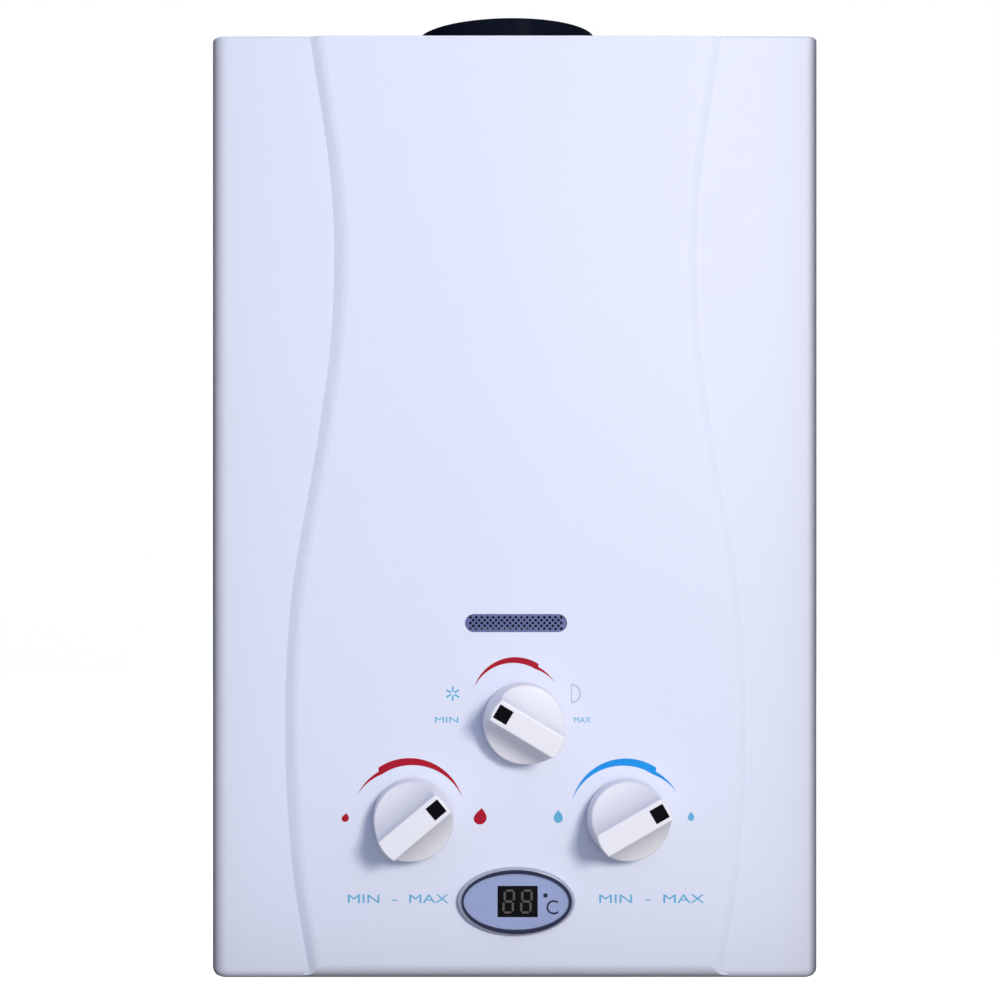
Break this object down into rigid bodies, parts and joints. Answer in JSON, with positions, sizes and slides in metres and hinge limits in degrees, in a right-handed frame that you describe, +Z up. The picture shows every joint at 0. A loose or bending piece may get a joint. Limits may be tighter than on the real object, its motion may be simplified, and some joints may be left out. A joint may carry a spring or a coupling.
{
  "type": "gas water heater",
  "caption": "Wall-hung flue gas water heater: pressed cover with wavy raised field, round flue collar, turning knobs, oval display, viewing window, and burner, exchanger and valves inside.",
  "frame": {"origin": "centre of the back plate's wall face, at half the cover's height", "axes": "+X to the right seen from the front, +Y into the wall, +Z up; the knobs face -Y"},
  "size_m": [0.294, 0.1583, 0.48],
  "materials": {
    "cover_enamel": "gloss white enamel",
    "galvanised": "galvanised sheet",
    "steel_screw": "plated",
    "mesh_steel": "perforated sheet",
    "bezel_chrome": "dark chrome",
    "display_plate": "grey-blue print",
    "led_black": "black",
    "board_green": "circuit board",
    "flue_black": "gloss black enamel",
    "copper": "copper",
    "burner_steel": "stainless",
    "cast_aluminium": "die cast",
    "brass_fitting": "machined",
    "rubber_black": "moulded",
    "plastic_black": "moulded",
    "spring_steel": "spring strip",
    "ceramic_white": "fired",
    "cell_wrap": "plain wrap",
    "knob_white": "moulded",
    "pointer_black": "inlay"
  },
  "bodies": {
    "casing": {"front_cover": "cover_enamel", "back_plate": "galvanised", "flue_hood": "galvanised", "exchanger_brackets": "galvanised", "switch_bracket": "galvanised", "electrode_bracket": "galvanised", "cover_screws": "steel_screw", "chassis_screws": "steel_screw", "collar_screws": "steel_screw", "diaphragm_screws": "steel_screw", "window_mesh": "mesh_steel", "display_bezel": "bezel_chrome", "display_face": "display_plate", "display_led": "led_black", "display_board": "board_green", "flue_collar": "flue_black", "exchanger_shell": "copper", "exchanger_fins": "copper", "exchanger_tubes": "copper", "chamber_coil": "copper", "hot_pipe": "copper", "cold_pipe": "copper", "burner_frame": "burner_steel", "burner_bars": "burner_steel", "gas_manifold": "cast_aluminium", "gas_valve_body": "cast_aluminium", "gas_riser": "cast_aluminium", "union_nuts": "brass_fitting", "gas_nozzles": "brass_fitting", "gas_nipple": "brass_fitting", "cold_nipple": "brass_fitting", "hot_nipple": "brass_fitting", "water_valve_body": "brass_fitting", "diaphragm_cover": "brass_fitting", "diaphragm": "rubber_black", "gas_solenoid": "plastic_black", "microswitch": "plastic_black", "overheat_switch": "plastic_black", "control_box": "plastic_black", "battery_box": "plastic_black", "spark_electrode": "ceramic_white", "flame_probe": "ceramic_white", "battery_cells": "cell_wrap"},
    "season_control": {"season_knob": "knob_white", "season_pointer": "pointer_black", "season_spindle": "brass_fitting"},
    "gas_control": {"gas_knob": "knob_white", "gas_pointer": "pointer_black", "gas_spindle": "brass_fitting"},
    "water_control": {"water_knob": "knob_white", "water_pointer": "pointer_black", "water_spindle": "brass_fitting"},
    "battery_door": {"battery_lid": "plastic_black"},
    "drain": {"drain_plug": "plastic_black"},
    "rod": {"push_rod": "brass_fitting"},
    "lever": {"switch_lever": "spring_steel"}
  },
  "joints": [
    {"name": "season_turn", "type": "hinge", "parent": "casing", "child": "season_control", "pos_m": [0.003, -0.1297, -0.102], "axis": [0, -1, 0], "range_deg": [-118, 0]},
    {"name": "gas_turn", "type": "hinge", "parent": "casing", "child": "gas_control", "pos_m": [-0.049, -0.1297, -0.1475], "axis": [0, -1, 0], "range_deg": [-40, 140]},
    {"name": "water_turn", "type": "hinge", "parent": "casing", "child": "water_control", "pos_m": [0.0525, -0.1297, -0.1475], "axis": [0, -1, 0], "range_deg": [-30, 150]},
    {"name": "battery_lid_swing", "type": "hinge", "parent": "casing", "child": "battery_door", "pos_m": [-0.0995, -0.0735, -0.2229], "axis": [1, 0, 0], "range_deg": [0, 90]},
    {"name": "drain_unscrew", "type": "hinge", "parent": "casing", "child": "drain", "pos_m": [0.0975, -0.045, -0.2], "axis": [0, 0, -1], "range_deg": [0, 360]},
    {"name": "rod_push", "type": "slide", "parent": "casing", "child": "rod", "axis": [-1, 0, 0], "range_m": [0, 0.003]},
    {"name": "lever_tip", "type": "hinge", "parent": "casing", "child": "lever", "pos_m": [-0.0029, -0.0525, -0.1295], "axis": [0, 1, 0], "range_deg": [0, 10]}
  ],
  "couplings": [
    {"joint": "lever_tip", "follows": "rod_push", "rad_per_m": 55.556}
  ]
}
